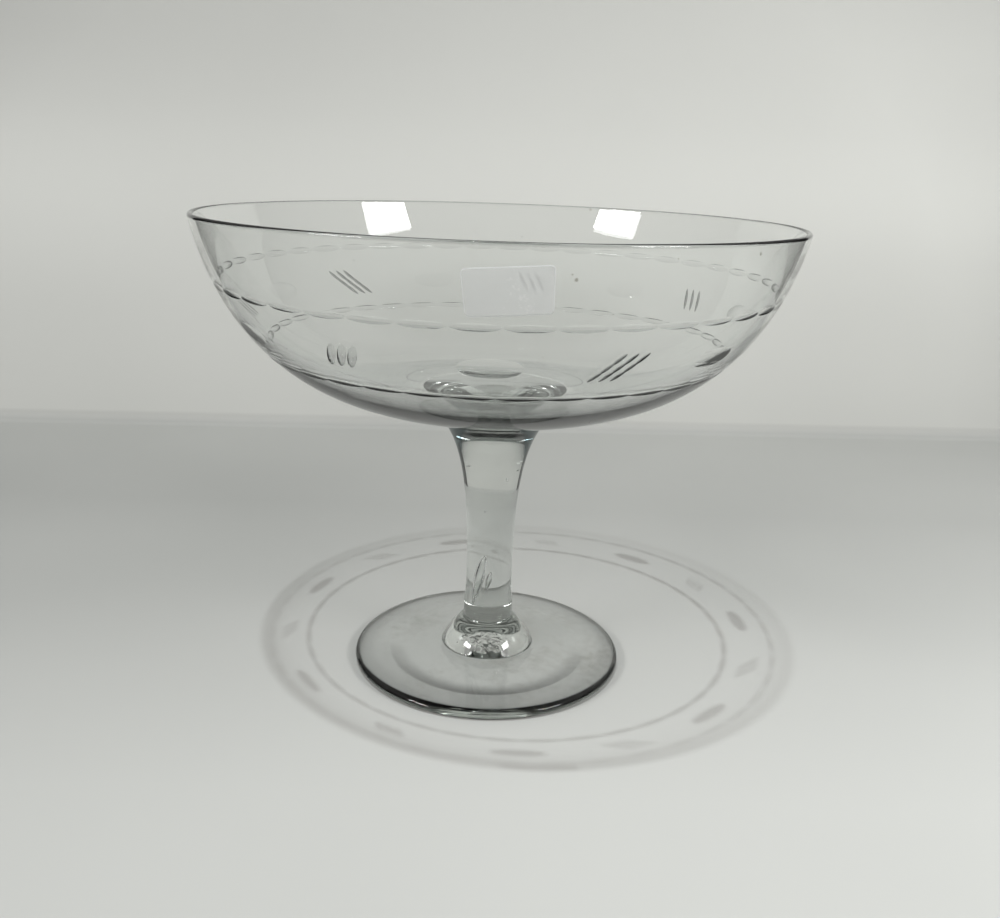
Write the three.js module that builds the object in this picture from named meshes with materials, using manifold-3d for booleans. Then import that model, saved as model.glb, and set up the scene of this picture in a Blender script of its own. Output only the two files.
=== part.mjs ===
// A footed glass bowl: a wide blown bowl with wheel-cut bands, on a waisted stem and a disc foot.
// Millimetres, +Z up. The origin is on the table, under the middle of the foot.
// Azimuth 0 faces -Y, where the label is, and it grows towards +X.

import * as THREE from "three";
import { mergeVertices } from "three/addons/utils/BufferGeometryUtils.js";
import Module from "manifold-3d";

// Driving dimensions of the bowl
const overallHeight = 270;
const rimRadius = 168;
const bowlDepth = 107.5;
const rimFlareDegrees = 12.25;
const rimHandle = 93.6;
const baseHandle = 33.8;
const rimWall = 3;
const baseWall = 6.5;

// Driving dimensions of the stem
const stemTopRadius = 42.5;
const stemFlareDegrees = 25;
const stemFlareHandle = 26.4;
const waistRadius = 14;
const waistHeight = 55;
const waistHandleUp = 58.3;
const waistHandleDown = 12;
const stemEndHandle = 11;

// Driving dimensions of the foot
const neckRadius = 15.2;
const neckHeight = 29.5;
const neckFilletReach = 2;
const neckFilletDrop = 3.8;
const neckFilletHandle = 1.8;
const domeRadius = 28;
const domeBase = 10.5;
const domeTopDegrees = 50;
const domeTopHandle = 6;
const domeSideDegrees = 75;
const domeSideHandle = 5;
const domeFillet = 2.5;
const domeFilletDegrees = 20;
const footRadius = 82.5;
const footEdgeThickness = 6.2;
const contactInnerRadius = 61;
const contactOuterRadius = 78;
const hollowDepth = 2.5;
const kickDepth = 4;
const kickRadius = 23;

// Driving dimensions of the cut chains: drops are measured down from the rim, and each band lies a little
// lower at the front and higher at the back by its lean
const upperChainDrop = 33.8;
const upperChainLean = 2.8;
const upperChainTurn = 0.9;
const upperChainCount = 42;
const upperChainLength = 22;
const lowerChainDrop = 72.2;
const lowerChainLean = 0.8;
const lowerChainTurn = 0;
const lowerChainCount = 38;
const lowerChainLength = 20;
const chainCutHeight = 4.4;
const chainCutDepth = 0.9;

// Driving dimensions of the band of ovals and strokes between the chains
const motifDrop = 55.5;
const motifLean = 1;
const ovalAzimuths = [-1, 45.5, 96, 143, 198.3, 249.6, 303.3];
const ovalLength = 27;
const ovalHeight = 14;
const ovalDepth = 1;
const strokeDepth = 1;
const strokeSpacing = 5.9;
const strokesInGroup = 3;
const uprightLength = 16;
const uprightWidth = 3.6;
const uprightTiltDegrees = 80;
const slantedLength = 26;
const slantedWidth = 2.6;
const slantedTiltDegrees = 41;
const slantedGroups = [1, 1, 0, 0, 1, 1, 0];

// Driving dimensions of the label
const labelWidth = 38.3;
const labelHeight = 22.3;
const labelThickness = 0.2;
const labelCornerRadius = 2.5;
const labelAzimuth = 1.5;
const labelTiltDegrees = 4;
const labelDrop = 20.5;
const labelGap = 0.3;

// Facets of the curved surfaces
const bowlFacets = 84;
const stemFacets = 40;
const footFacets = 60;
const wallSteps = 12;
const insideSteps = 8;
const lipSteps = 4;
const stemSteps = 7;
const footSteps = 6;
const neckSteps = 2;
const domeSteps = 5;
const hollowSteps = 6;
const cutterRings = 4;
const chainCutSides = 6;
const strokeSides = 6;
const ovalSides = 10;
const labelColumns = 12;
const labelRows = 4;
const labelCornerColumns = 3;

// The height of a cutter's middle above the wall, as a share of the cut's depth
const cutterLift = 0.75;

// Fineness of the arithmetic
const wallDivisions = 400;
const heightSearchSteps = 40;
const weldDistance = 1e-4;

const seatHeight = overallHeight - bowlDepth;
const degrees = Math.PI / 180;
const fullTurn = 360;

const wasm = await Module();
wasm.setup();

// A profile point: x is the distance from the axis, y the height
function point(radius, height) {
  return new THREE.Vector2(radius, height);
}

// The point at a distance from another one, in a direction given in degrees above the horizontal
function step(from, angle, distance) {
  return point(from.x + distance * Math.cos(angle * degrees), from.y + distance * Math.sin(angle * degrees));
}

// The bowl's outside runs from the edge of the stem's seat, level at first, up to the rim
const seatEdge = point(stemTopRadius, seatHeight);
const lipRise = (rimWall / 2) * (1 + Math.sin(rimFlareDegrees * degrees));
const rimEdge = point(rimRadius, overallHeight - lipRise);
const outerWall = new THREE.CubicBezierCurve(
  seatEdge,
  step(seatEdge, 0, baseHandle),
  step(rimEdge, 270 - rimFlareDegrees, rimHandle),
  rimEdge,
);
outerWall.arcLengthDivisions = wallDivisions;

// The share of the wall's length at which it is a given drop below the rim
function wallShareAtDrop(drop) {
  const height = overallHeight - drop;
  let low = 0;
  let high = 1;
  for (let i = 0; i < heightSearchSteps; i += 1) {
    const middle = (low + high) / 2;
    if (outerWall.getPointAt(middle).y < height) {
      low = middle;
    } else {
      high = middle;
    }
  }
  return (low + high) / 2;
}

// The wall's outward direction in the profile at a share of its length
function wallNormal(share) {
  const tangent = outerWall.getTangentAt(share);
  return point(tangent.y, -tangent.x);
}

// The wall thickens smoothly from the rim down to the base
function wallThickness(share) {
  return rimWall + (baseWall - rimWall) * (1 - share) ** 2;
}

function bowlProfile() {
  const outside = [];
  const inside = [];
  for (let i = 0; i <= wallSteps; i += 1) {
    outside.push(outerWall.getPointAt(i / wallSteps));
  }
  for (let i = insideSteps; i >= 0; i -= 1) {
    const share = i / insideSteps;
    const inward = wallNormal(share).multiplyScalar(-wallThickness(share));
    inside.push(outerWall.getPointAt(share).add(inward));
  }
  const lip = [];
  const lipMiddle = rimEdge.clone().add(inside[0]).multiplyScalar(0.5);
  for (let i = 1; i < lipSteps; i += 1) {
    lip.push(rimEdge.clone().rotateAround(lipMiddle, (Math.PI * i) / lipSteps));
  }
  return [point(0, seatHeight), ...outside, ...lip, ...inside, point(0, seatHeight + baseWall)];
}

function stemProfile() {
  const foot = point(neckRadius, neckHeight);
  const waist = point(waistRadius, waistHeight);
  const lower = new THREE.CubicBezierCurve(
    foot,
    step(foot, 90, stemEndHandle),
    step(waist, 270, waistHandleDown),
    waist,
  );
  const upper = new THREE.CubicBezierCurve(
    waist,
    step(waist, 90, waistHandleUp),
    step(seatEdge, 180 + stemFlareDegrees, stemFlareHandle),
    seatEdge,
  );
  const side = [...lower.getSpacedPoints(stemSteps).slice(0, -1), ...upper.getSpacedPoints(stemSteps)];
  return [point(0, neckHeight), ...side, point(0, seatHeight)];
}

// The foot's underside rises gently from the contact ring, and more steeply to the kick in the middle
function hollowHeight(radius) {
  const gentle = hollowDepth * (1 - (radius / contactInnerRadius) ** 2);
  return gentle + kickDepth * THREE.MathUtils.smoothstep(kickRadius - radius, 0, kickRadius);
}

function footProfile() {
  const neck = point(neckRadius, neckHeight);
  const domeTop = point(neckRadius + neckFilletReach, neckHeight - neckFilletDrop);
  const domeFoot = point(domeRadius, domeBase);
  const edgeRadius = footEdgeThickness / 2;
  const discTop = point(footRadius - edgeRadius, footEdgeThickness);
  const fillet = new THREE.CubicBezierCurve(
    neck,
    step(neck, -90, neckFilletHandle),
    step(domeTop, 180 - domeTopDegrees, neckFilletHandle),
    domeTop,
  );
  const dome = new THREE.CubicBezierCurve(
    domeTop,
    step(domeTop, -domeTopDegrees, domeTopHandle),
    step(domeFoot, 180 - domeSideDegrees, domeSideHandle),
    domeFoot,
  );
  const discStart = step(domeFoot, -domeFilletDegrees, domeFillet);
  const edge = [];
  const edgeMiddle = point(footRadius - edgeRadius, edgeRadius);
  for (let i = 0; i < footSteps; i += 1) {
    edge.push(discTop.clone().rotateAround(edgeMiddle, (-Math.PI * i) / footSteps));
  }
  const under = [point(contactOuterRadius, 0)];
  for (let i = hollowSteps; i >= 0; i -= 1) {
    const radius = (contactInnerRadius * i) / hollowSteps;
    under.push(point(radius, hollowHeight(radius)));
  }
  const shoulder = [...fillet.getSpacedPoints(neckSteps).slice(0, -1), ...dome.getSpacedPoints(domeSteps)];
  return [point(0, neckHeight), ...shoulder, discStart, ...edge, ...under].reverse();
}

// A closed solid of revolution about the Z axis
function turned(profile, facets) {
  const geometry = new THREE.LatheGeometry(profile, facets);
  geometry.rotateX(Math.PI / 2);
  return geometry;
}

function toSolid(geometry) {
  const bare = geometry.clone();
  bare.deleteAttribute("normal");
  bare.deleteAttribute("uv");
  const merged = mergeVertices(bare, weldDistance);
  const vertProperties = new Float32Array(merged.attributes.position.array);
  const triVerts = new Uint32Array(merged.index.array);
  return new wasm.Manifold(new wasm.Mesh({ numProp: 3, vertProperties, triVerts }));
}

function toGeometry(solid) {
  const mesh = solid.getMesh();
  const geometry = new THREE.BufferGeometry();
  geometry.setAttribute("position", new THREE.BufferAttribute(mesh.vertProperties, 3));
  geometry.setIndex(new THREE.BufferAttribute(mesh.triVerts, 1));
  geometry.computeVertexNormals();
  return geometry;
}

// The frame of a place on the outside of the wall: X level, Y up the wall and Z outward
function wallFrame(azimuth, share) {
  const place = outerWall.getPointAt(share);
  const slope = outerWall.getTangentAt(share);
  const outward = new THREE.Vector3(Math.sin(azimuth * degrees), -Math.cos(azimuth * degrees), 0);
  const level = new THREE.Vector3(Math.cos(azimuth * degrees), Math.sin(azimuth * degrees), 0);
  const up = outward.clone().multiplyScalar(slope.x).setZ(slope.y);
  const normal = new THREE.Vector3().crossVectors(level, up);
  const origin = outward.clone().multiplyScalar(place.x).setZ(place.y);
  return new THREE.Matrix4().makeBasis(level, up, normal).setPosition(origin);
}

// How far a wall of this radius falls away from its tangent at a distance from the middle
function fallAway(distance, radius) {
  return (distance * distance) / (2 * radius);
}

// Half the axis of an ellipsoid that leaves a cut of the given half length in the wall
function cutterHalfAxis(halfLength, centreHeight, fall, depth) {
  const share = (centreHeight + fall) / (centreHeight + depth);
  return halfLength / Math.sqrt(1 - share * share);
}

// The tool that grinds one shallow oval cut, turned by tilt degrees from the level
function cutter(azimuth, drop, length, width, depth, tilt, sides) {
  const share = wallShareAtDrop(drop);
  const centreHeight = depth * cutterLift;
  const wallRadius = outerWall.getPointAt(share).x;
  const levelFall = fallAway((length / 2) * Math.cos(tilt * degrees), wallRadius);
  const along = cutterHalfAxis(length / 2, centreHeight, levelFall, depth);
  const across = cutterHalfAxis(width / 2, centreHeight, 0, depth);
  const tool = new THREE.SphereGeometry(1, sides, cutterRings);
  tool.rotateX(Math.PI / 2);
  tool.scale(along, across, centreHeight + depth);
  tool.translate(0, 0, centreHeight);
  tool.rotateZ(tilt * degrees);
  tool.applyMatrix4(wallFrame(azimuth, share));
  return toSolid(tool);
}

// The drop of a leaning band at an azimuth
function leaningDrop(drop, lean, azimuth) {
  return drop + lean * Math.cos(azimuth * degrees);
}

function chainCutters(count, drop, lean, turn, length) {
  const tools = [];
  for (let i = 0; i < count; i += 1) {
    const azimuth = turn + ((i + 0.5) * fullTurn) / count;
    const place = leaningDrop(drop, lean, azimuth);
    tools.push(cutter(azimuth, place, length, chainCutHeight, chainCutDepth, 0, chainCutSides));
  }
  return tools;
}

function strokeCutters(azimuth, slanted) {
  const wallRadius = outerWall.getPointAt(wallShareAtDrop(motifDrop)).x;
  const spacingDegrees = strokeSpacing / wallRadius / degrees;
  const length = slanted ? slantedLength : uprightLength;
  const width = slanted ? slantedWidth : uprightWidth;
  const tilt = slanted ? slantedTiltDegrees : uprightTiltDegrees;
  const tools = [];
  for (let i = 0; i < strokesInGroup; i += 1) {
    const offset = (i - (strokesInGroup - 1) / 2) * spacingDegrees;
    const drop = leaningDrop(motifDrop, motifLean, azimuth);
    tools.push(cutter(azimuth + offset, drop, length, width, strokeDepth, tilt, strokeSides));
  }
  return tools;
}

// The ovals were set out by eye, and each group of strokes stands midway between two of them
function motifCutters() {
  const tools = [];
  ovalAzimuths.forEach((azimuth, i) => {
    const next = ovalAzimuths[i + 1] ?? ovalAzimuths[0] + fullTurn;
    const drop = leaningDrop(motifDrop, motifLean, azimuth);
    tools.push(cutter(azimuth, drop, ovalLength, ovalHeight, ovalDepth, 0, ovalSides));
    tools.push(...strokeCutters((azimuth + next) / 2, slantedGroups[i] === 1));
  });
  return tools;
}

function cutBowl() {
  let solid = toSolid(turned(bowlProfile(), bowlFacets));
  const tools = [
    ...chainCutters(upperChainCount, upperChainDrop, upperChainLean, upperChainTurn, upperChainLength),
    ...chainCutters(lowerChainCount, lowerChainDrop, lowerChainLean, lowerChainTurn, lowerChainLength),
    ...motifCutters(),
  ];
  for (const tool of tools) {
    solid = solid.subtract(tool);
  }
  return toGeometry(solid);
}

// Level places of the label's columns, closer together in the rounded corners
function labelColumnPlaces() {
  const straight = labelWidth / 2 - labelCornerRadius;
  const places = [];
  for (let i = -labelCornerColumns; i < 0; i += 1) {
    places.push(-straight + labelCornerRadius * Math.sin((i / labelCornerColumns) * 90 * degrees));
  }
  const middleColumns = labelColumns - 2 * labelCornerColumns;
  for (let i = 0; i <= middleColumns; i += 1) {
    places.push(-straight + (2 * straight * i) / middleColumns);
  }
  for (let i = 1; i <= labelCornerColumns; i += 1) {
    places.push(straight + labelCornerRadius * Math.sin((i / labelCornerColumns) * 90 * degrees));
  }
  return places;
}

// The label is a flat film bent round the outside of the wall, a small gap clear of it
function labelGeometry() {
  const places = labelColumnPlaces();
  const sheet = new THREE.BoxGeometry(labelColumns, 2, 1, labelColumns, labelRows, 1);
  const share = wallShareAtDrop(labelDrop);
  const wallRadius = outerWall.getPointAt(share).x;
  const tilt = labelTiltDegrees * degrees;
  const position = sheet.attributes.position;
  for (let i = 0; i < position.count; i += 1) {
    const column = Math.round(position.getX(i) + labelColumns / 2);
    const across = places[column];
    const intoCorner = Math.max(0, Math.abs(across) - (labelWidth / 2 - labelCornerRadius));
    const cornerDrop = labelCornerRadius - Math.sqrt(Math.max(0, labelCornerRadius ** 2 - intoCorner ** 2));
    const up = position.getY(i) * (labelHeight / 2 - cornerDrop);
    const level = across * Math.cos(tilt) - up * Math.sin(tilt);
    const upWall = across * Math.sin(tilt) + up * Math.cos(tilt);
    const azimuth = labelAzimuth + level / wallRadius / degrees;
    const frame = wallFrame(azimuth, share + upWall / outerWall.getLength());
    const lift = labelGap + (position.getZ(i) > 0 ? labelThickness : 0);
    const placed = new THREE.Vector3(0, 0, lift).applyMatrix4(frame);
    position.setXYZ(i, placed.x, placed.y, placed.z);
  }
  return toGeometry(toSolid(sheet));
}

const glass = new THREE.MeshStandardMaterial({
  color: 0xdfe6e3,
  roughness: 0.03,
  metalness: 0,
  transparent: true,
  opacity: 0.4,
});
const film = new THREE.MeshStandardMaterial({
  color: 0xf2f3f2,
  roughness: 0.25,
  metalness: 0,
  transparent: true,
  opacity: 0.3,
});

function named(name, geometry, material) {
  const mesh = new THREE.Mesh(geometry, material);
  mesh.name = name;
  return mesh;
}

const centrepiece = new THREE.Group();
centrepiece.add(named("bowl", cutBowl(), glass));
centrepiece.add(named("stem", turned(stemProfile(), stemFacets), glass));
centrepiece.add(named("foot", turned(footProfile(), footFacets), glass));
centrepiece.add(named("label", labelGeometry(), film));

export default centrepiece;
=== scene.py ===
# %% [markdown]
# # A cut-glass footed bowl in Blender
# This lesson dresses a hand-blown glass centrepiece: a wide bowl with wheel-cut bands, a waisted
# stem and a disc foot. The construction model is loaded as a fixed frame, and every piece here is
# built in the same place and at the same size, so nothing has to be fitted afterwards.

# %% Load the construction model
import bpy
import bmesh
import math
import numpy as np
from mathutils import Matrix, Vector, noise


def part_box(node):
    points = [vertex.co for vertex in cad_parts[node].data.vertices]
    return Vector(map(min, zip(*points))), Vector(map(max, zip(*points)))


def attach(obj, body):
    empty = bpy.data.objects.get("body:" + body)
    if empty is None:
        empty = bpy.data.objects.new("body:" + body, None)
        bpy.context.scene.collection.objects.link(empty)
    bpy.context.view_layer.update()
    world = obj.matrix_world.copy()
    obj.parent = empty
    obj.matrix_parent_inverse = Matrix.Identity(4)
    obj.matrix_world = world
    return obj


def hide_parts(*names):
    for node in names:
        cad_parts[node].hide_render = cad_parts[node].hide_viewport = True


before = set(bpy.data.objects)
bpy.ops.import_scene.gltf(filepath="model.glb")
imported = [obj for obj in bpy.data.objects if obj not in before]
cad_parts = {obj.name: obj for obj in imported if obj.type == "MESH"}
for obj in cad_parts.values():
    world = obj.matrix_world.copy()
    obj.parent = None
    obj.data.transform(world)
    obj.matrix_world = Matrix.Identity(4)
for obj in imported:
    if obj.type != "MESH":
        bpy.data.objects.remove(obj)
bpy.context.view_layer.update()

# %% [markdown]
# ## Sizes
# The heights and radii come from the frame's nodes. What the frame can't say by itself, such as
# the fullness of the bowl's curve or the depth of a cut, is a named size in metres below.

# %% Sizes read from the frame
MM = 0.001
bowl_low, bowl_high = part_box("bowl")
stem_low, stem_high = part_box("stem")
_, foot_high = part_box("foot")
label_low, label_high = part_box("label")

rim_radius = bowl_high.x
rim_height = bowl_high.z
seat_height = bowl_low.z
seat_radius = stem_high.x
neck_height = stem_low.z
foot_radius = foot_high.x
print("rim radius", round(rim_radius, 4), "rim height", round(rim_height, 4), "seat", round(seat_height, 4))
print("label from", round(label_low.z, 4), "up to", round(label_high.z, 4))

# %% Sizes of the wall, the stem and the foot
rim_wall = 3.0 * MM
base_wall = 6.5 * MM
rim_flare = math.radians(12.25)
rim_handle = 93.6 * MM
base_handle = 33.8 * MM
waist_radius = 14 * MM
waist_height = 55 * MM
neck_radius = 15.2 * MM
joint_gap = 0.06 * MM

# %% [markdown]
# ## Camera
# The photograph was taken with a short lens from a little above the rim, standing close, so the
# near part of the foot looks larger. The camera stands where the outline of the rim, the foot and
# the cut chains agree with the picture: 570 mm in front of the stem and 303 mm above the table.

# %% Put an object into the scene
def placed(name, data):
    """A new object with that data, linked to the scene."""
    thing = bpy.data.objects.new(name, data)
    bpy.context.scene.collection.objects.link(thing)
    return thing


# %% Camera at the photograph's place
camera_place = Vector((0, -0.5705, 0.3026))
camera_pitch = math.radians(16.978)
camera_yaw = math.radians(-0.436)
camera_roll = math.radians(2.016)
camera_data = bpy.data.cameras.new("photo_camera")
camera_data.sensor_width = 36
camera_data.lens = 35.755
camera_data.clip_start = 0.01
camera_data.clip_end = 50
camera = placed("photo_camera", camera_data)
turn = Matrix.Rotation(camera_yaw, 4, "Z") @ Matrix.Rotation(math.pi / 2 - camera_pitch, 4, "X")
camera.matrix_world = Matrix.Translation(camera_place) @ turn @ Matrix.Rotation(camera_roll, 4, "Z")
bpy.context.scene.camera = camera
print("camera stands", round((camera_place - Vector((0, 0, rim_height / 2))).length, 3), "m from the middle")

# %% [markdown]
# ## Turned forms
# Glass on a blowing iron is turned all the time, so the bowl, the stem and the foot are surfaces
# of revolution. A small function turns a profile about the Z axis. Each corner of each face also
# keeps the exact direction of the true curve there, in an attribute, so that light bends through
# the mesh as through a smooth surface, even where a later cut has split the faces.

# %% A cubic curve and a turned mesh
def cubic(p0, p1, p2, p3, steps):
    """Points on a cubic curve with four control points, as an array of (radius, height)."""
    t = np.linspace(0, 1, steps + 1)[:, None]
    p0, p1, p2, p3 = (np.array(p, float) for p in (p0, p1, p2, p3))
    return (1 - t) ** 3 * p0 + 3 * (1 - t) ** 2 * t * p1 + 3 * (1 - t) * t**2 * p2 + t**3 * p3


def slopes(points):
    """The unit direction along a profile at each of its points."""
    along = np.gradient(points, axis=0)
    return along / np.linalg.norm(along, axis=1, keepdims=True)


def spaced(points, steps):
    """The same curve with its points an equal distance apart."""
    lengths = np.concatenate([[0], np.cumsum(np.linalg.norm(np.diff(points, axis=0), axis=1))])
    at = np.linspace(0, lengths[-1], steps + 1)
    return np.stack([np.interp(at, lengths, points[:, k]) for k in (0, 1)], axis=1)


# %% Turn stretches of profile into one closed mesh
NORMAL = "true_normal"
on_axis = 1e-7
no_length = 1e-6


def keep(mesh, name, domain, values, kind="FLOAT"):
    """Stores values in a new attribute of a mesh."""
    made = mesh.attributes.new(name, kind, domain)
    made.data.foreach_set("value" if kind == "FLOAT" else "vector", np.array(values, np.float32).ravel())


def turned(name, stretches, around):
    """Turns stretches of profile about Z. Each is (points, mask): joined end to end they run from axis to
    axis, and mask is the value that its faces get in the attribute named joint_face."""
    angles = np.linspace(0, 2 * math.pi, around, endpoint=False)
    cosines, sines = np.cos(angles), np.sin(angles)
    verts, rows = [], []

    def ring(radius, height):
        if radius < on_axis:
            verts.append((0.0, 0.0, height))
            return [len(verts) - 1]
        start = len(verts)
        verts.extend(zip(radius * cosines, radius * sines, [height] * around))
        return list(range(start, start + around))

    faces, face_normals, masks = [], [], []
    last_ring = None
    for points, mask in stretches:
        directions = slopes(points)
        for k in range(len(points)):
            row = last_ring if k == 0 and last_ring is not None else ring(*points[k])
            if k > 0:
                rows.append((previous, row, directions[k - 1], directions[k], mask))
            previous = row
        last_ring = previous
    for low, high, slope_low, slope_high, mask in rows:
        out_low = np.array([slope_low[1], -slope_low[0]])
        out_high = np.array([slope_high[1], -slope_high[0]])
        for i in range(around):
            j = (i + 1) % around
            corners = [(low, i, out_low), (low, j, out_low), (high, j, out_high), (high, i, out_high)]
            if len(low) == 1:
                corners = [corners[0], corners[2], corners[3]]
            elif len(high) == 1:
                corners = corners[:3]
            faces.append([row[k % len(row)] for row, k, _ in corners])
            masks.append(mask)
            face_normals.extend((o[0] * cosines[k], o[0] * sines[k], o[1]) for _, k, o in corners)
    mesh = bpy.data.meshes.new(name)
    mesh.from_pydata(verts, [], faces)
    keep(mesh, NORMAL, "CORNER", face_normals, "FLOAT_VECTOR")
    keep(mesh, "joint_face", "FACE", masks)
    return placed(name, mesh)


def use_true_normals(thing):
    """Shades a mesh with the directions kept in its corners, and then removes that attribute."""
    mesh = thing.data
    values = np.zeros(len(mesh.loops) * 3, np.float32)
    mesh.attributes[NORMAL].data.foreach_get("vector", values)
    values = values.reshape(-1, 3)
    lengths = np.linalg.norm(values, axis=1, keepdims=True)
    values = np.where(lengths > no_length, values / np.maximum(lengths, no_length), 0)
    mesh.attributes.remove(mesh.attributes[NORMAL])
    mesh.shade_smooth()
    mesh.normals_split_custom_set(values.tolist())
    print(thing.name, "has", len(mesh.vertices), "vertices and", len(mesh.polygons), "faces")


# %% [markdown]
# ## The bowl
# A blown wall is thin at the rim and thickens towards the base. The outside is one cubic curve
# from the stem's seat to the rim. The inside is the same curve moved inwards by the thickness,
# and a half circle closes the lip. That half circle swells a little past the end of the curve,
# so the curve ends that much inside the rim's radius and below its height.

# %% The bowl's profile
curve_steps = 2000
even_steps = 4000
floor_rings = 6
edge_radius = rim_radius - rim_wall / 2 * (1 - math.cos(rim_flare))
edge_height = rim_height - rim_wall / 2 * (1 + math.sin(rim_flare))
outside_fine = cubic(
    (seat_radius, seat_height),
    (seat_radius + base_handle, seat_height),
    (edge_radius - rim_handle * math.sin(rim_flare), edge_height - rim_handle * math.cos(rim_flare)),
    (edge_radius, edge_height),
    curve_steps,
)
wall_length = float(np.linalg.norm(np.diff(outside_fine, axis=0), axis=1).sum())


def wall_thickness(share):
    """The wall's thickness at a share of the way from the base to the rim."""
    return rim_wall + (base_wall - rim_wall) * (1 - share) ** 2


def wall_at(share):
    """The point and the direction up the wall at shares of its length."""
    even = spaced(outside_fine, even_steps)
    along = slopes(even)
    at = np.asarray(share) * even_steps
    steps = np.arange(even_steps + 1)
    place = np.stack([np.interp(at, steps, even[:, k]) for k in (0, 1)], axis=-1)
    slope = np.stack([np.interp(at, steps, along[:, k]) for k in (0, 1)], axis=-1)
    return place, slope / np.linalg.norm(slope, axis=-1, keepdims=True)


def bowl_profile(wall_steps, inside_steps, lip_steps):
    """The stretches of the bowl's profile, from the middle of the seat round the lip to the inside."""
    seat = np.array([[0, seat_height], [seat_radius, seat_height]])
    outside, _ = wall_at(np.linspace(0, 1, wall_steps + 1))
    shares = np.linspace(1, 0, inside_steps + 1)
    place, slope = wall_at(shares)
    outward = np.stack([slope[:, 1], -slope[:, 0]], axis=1)
    inside = place - outward * wall_thickness(shares)[:, None]
    middle = (outside[-1] + inside[0]) / 2
    arm = outside[-1] - middle
    turns = np.linspace(0, math.pi, lip_steps + 1)
    lip = [middle + arm * math.cos(a) + np.array([-arm[1], arm[0]]) * math.sin(a) for a in turns]
    floor_steps = np.linspace(1, 0, floor_rings)[:, None]
    floor = inside[-1] * floor_steps + np.array([0, inside[-1][1]]) * (1 - floor_steps)
    return [(seat, 1.0), (outside, 0.0), (np.array(lip), 0.0), (inside, 0.0), (floor, 0.0)]


bowl = turned("bowl_glass", bowl_profile(wall_steps=110, inside_steps=70, lip_steps=10), around=300)

# %% [markdown]
# ## The wheel cuts
# The decoration was ground with small wheels: two chains of slim ovals end to end, and between
# them large shallow ovals that alternate with groups of three short strokes. Each cut is a real
# hollow here. An ellipsoid stands where the wheel stood, and a boolean takes it out of the wall.
# A bump map could not give the bright and dark rims of the cuts, because the glass bends light.
# A narrow cut also looks grey in a real room, since it gathers the dark things in it. This plain
# room has none, so each kind of cut carries a share of painted shade, a grey in its colour, listed
# with its sizes: most in narrow strokes.

# %% Sizes of the cuts
# How many cuts, their drop below the rim, how much lower the front hangs, and a turn in degrees.
chains = {
    "upper_chain": (42, 33.8 * MM, 2.8 * MM, 0.9),
    "lower_chain": (38, 72.2 * MM, 0.8 * MM, 0.17),
}
motif_drop = 55.5 * MM
motif_lean = 1 * MM
# Length, width and depth in metres, tilt in degrees, and the share of grey, which is painted shade.
cut_kinds = {
    "upper_chain": (22.4 * MM, 4.4 * MM, 0.45 * MM, 0, 0.1),
    "lower_chain": (20.4 * MM, 4.4 * MM, 0.45 * MM, 0, 0.1),
    "oval": (27 * MM, 14 * MM, 0.65 * MM, 0, 0.05),
    "upright": (19.5 * MM, 4.8 * MM, 0.55 * MM, 64, 0.3),
    "slanted": (9.5 * MM, 2.4 * MM, 0.6 * MM, 51, 0.6),
    "deep_upright": (20.5 * MM, 2.1 * MM, 0.75 * MM, 62, 0.75),
    "deep_slanted": (12 * MM, 2.2 * MM, 0.85 * MM, 49, 0.7),
}
wheel_lift = 0.75
slanted_pass = 6.7 * MM
oval_azimuths = [-1, 45.5, 96, 143, 198.3, 249.6, 303.3]
stroke_spacing = 5.9 * MM
stroke_kinds = ["slanted", "deep_slanted", "deep_upright", "deep_upright"]
stroke_kinds += ["deep_slanted", "slanted", "upright"]


# %% A place on the wall, and a wheel that stands there
def share_at_drop(drop):
    """The share of the wall's length at a drop below the rim."""
    shares = np.linspace(0, 1, curve_steps + 1)
    place, _ = wall_at(shares)
    return float(np.interp(rim_height - drop, place[:, 1], shares))


def wall_frame(azimuth, share):
    """A matrix at a place on the bowl's outside: X level, Y up the wall, Z outward. Azimuth 0 faces -Y."""
    place, slope = wall_at(share)
    a = math.radians(azimuth)
    outward = Vector((math.sin(a), -math.cos(a), 0))
    level = Vector((math.cos(a), math.sin(a), 0))
    up = outward * slope[0] + Vector((0, 0, slope[1]))
    normal = level.cross(up)
    origin = outward * place[0] + Vector((0, 0, place[1]))
    return Matrix.Translation(origin) @ Matrix((level, up, normal)).transposed().to_4x4()


def wheel(azimuth, drop, kind, along_cut=0.0):
    """The ellipsoid that grinds one cut: a matrix that turns a unit sphere into it, and the cut's share of
    grey, which is painted shade. along_cut moves it that far up along its own tilt, for a cut that is
    ground in several passes."""
    length, width, depth, tilt, grey = cut_kinds[kind]
    share = share_at_drop(drop)
    wall_radius = float(wall_at(share)[0][0])
    tilt = math.radians(tilt)
    above = wheel_lift * depth
    half = length / 2
    fall = (half * math.cos(tilt)) ** 2 / (2 * wall_radius)
    reach = above + depth
    along = half / math.sqrt(1 - ((above + fall) / reach) ** 2)
    across = width / 2 / math.sqrt(1 - (above / reach) ** 2)
    share += along_cut * math.sin(tilt) / wall_length
    azimuth += math.degrees(along_cut * math.cos(tilt) / wall_radius)
    lifted = Matrix.Translation((0, 0, above)) @ Matrix.Rotation(tilt, 4, "Z")
    return wall_frame(azimuth, share) @ lifted @ Matrix.Diagonal((along, across, reach, 1)), grey


def leaning_drop(drop, lean, azimuth):
    """The drop of a band that lies a little lower at the front than at the back."""
    return drop + lean * math.cos(math.radians(azimuth))


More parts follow.
